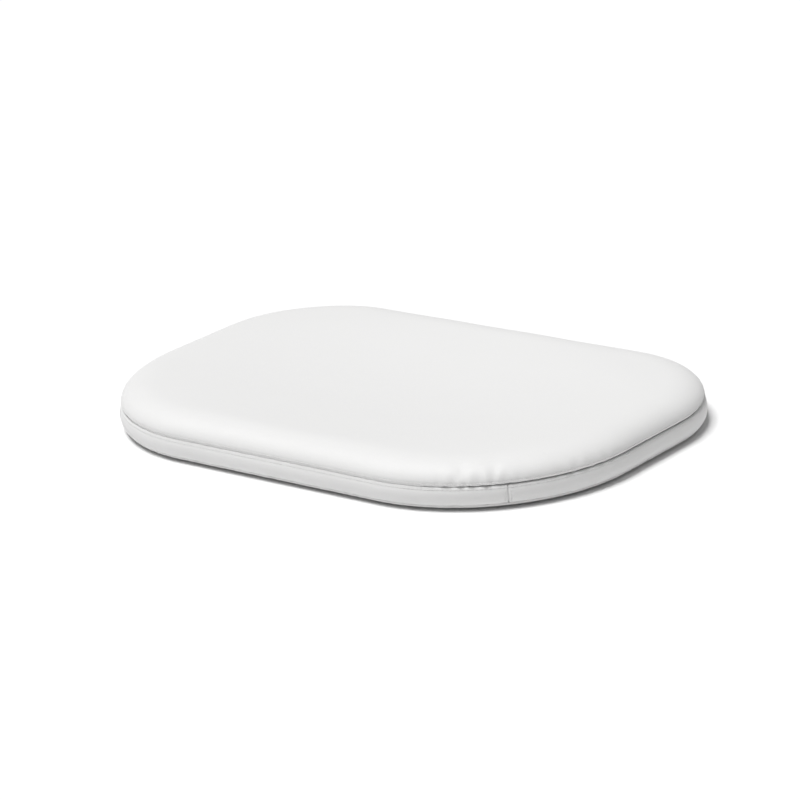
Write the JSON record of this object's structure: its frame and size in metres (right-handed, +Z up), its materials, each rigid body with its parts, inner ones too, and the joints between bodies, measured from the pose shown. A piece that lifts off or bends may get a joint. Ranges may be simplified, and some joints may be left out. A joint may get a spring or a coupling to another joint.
{
  "type": "face cradle cushion",
  "caption": "Flat padded face cushion with a shallow dish, rounded corners, boxed leather cover, rear zip with slider and pull, and hook strips underneath.",
  "frame": {"origin": "middle of the underside of the centre hook strip, in the plane the pad rests on", "axes": "+X across the table (the pad's long side), +Y towards the table's head end, where the zip is, +Z up"},
  "size_m": [0.57, 0.3853, 0.044],
  "materials": {
    "cover_leather": "satin",
    "stiffener_plastic": "matte",
    "foam": "matte",
    "wadding": "matte",
    "hook_tape": "matte",
    "zip_tape": "matte",
    "zip_nylon": "satin",
    "zip_metal": "polished"
  },
  "bodies": {
    "cushion": {"cover_top_panel": "cover_leather", "boxing_front": "cover_leather", "boxing_right": "cover_leather", "boxing_left": "cover_leather", "boxing_rear_upper": "cover_leather", "boxing_rear_lower": "cover_leather", "cover_bottom_panel": "cover_leather", "stiffener_sheet": "stiffener_plastic", "support_foam": "foam", "comfort_foam": "foam", "wadding_wrap": "wadding", "hook_strip_front": "hook_tape", "hook_strip_centre": "hook_tape", "hook_strip_rear": "hook_tape", "zip_tape_upper": "zip_tape", "zip_tape_lower": "zip_tape", "zip_coil_upper": "zip_nylon", "zip_coil_lower": "zip_nylon", "zip_top_stops": "zip_metal", "zip_bottom_stop": "zip_metal", "zip_end_tab_right": "cover_leather", "zip_end_tab_left": "cover_leather"},
    "zip_slider": {"zip_slider_body": "zip_metal", "zip_slider_crown": "zip_metal"},
    "zip_pull": {"zip_pull_tab": "zip_metal"}
  },
  "joints": [
    {"name": "zip_slide", "type": "slide", "parent": "cushion", "child": "zip_slider", "axis": [-1, 0, 0], "range_m": [0, 0.266], "deforming": ["zip_coil_upper", "zip_coil_lower"]},
    {"name": "pull_turn", "type": "hinge", "parent": "zip_slider", "child": "zip_pull", "pos_m": [0.133, 0.1935, 0.015], "axis": [0, 0, -1], "range_deg": [0, 180]}
  ]
}
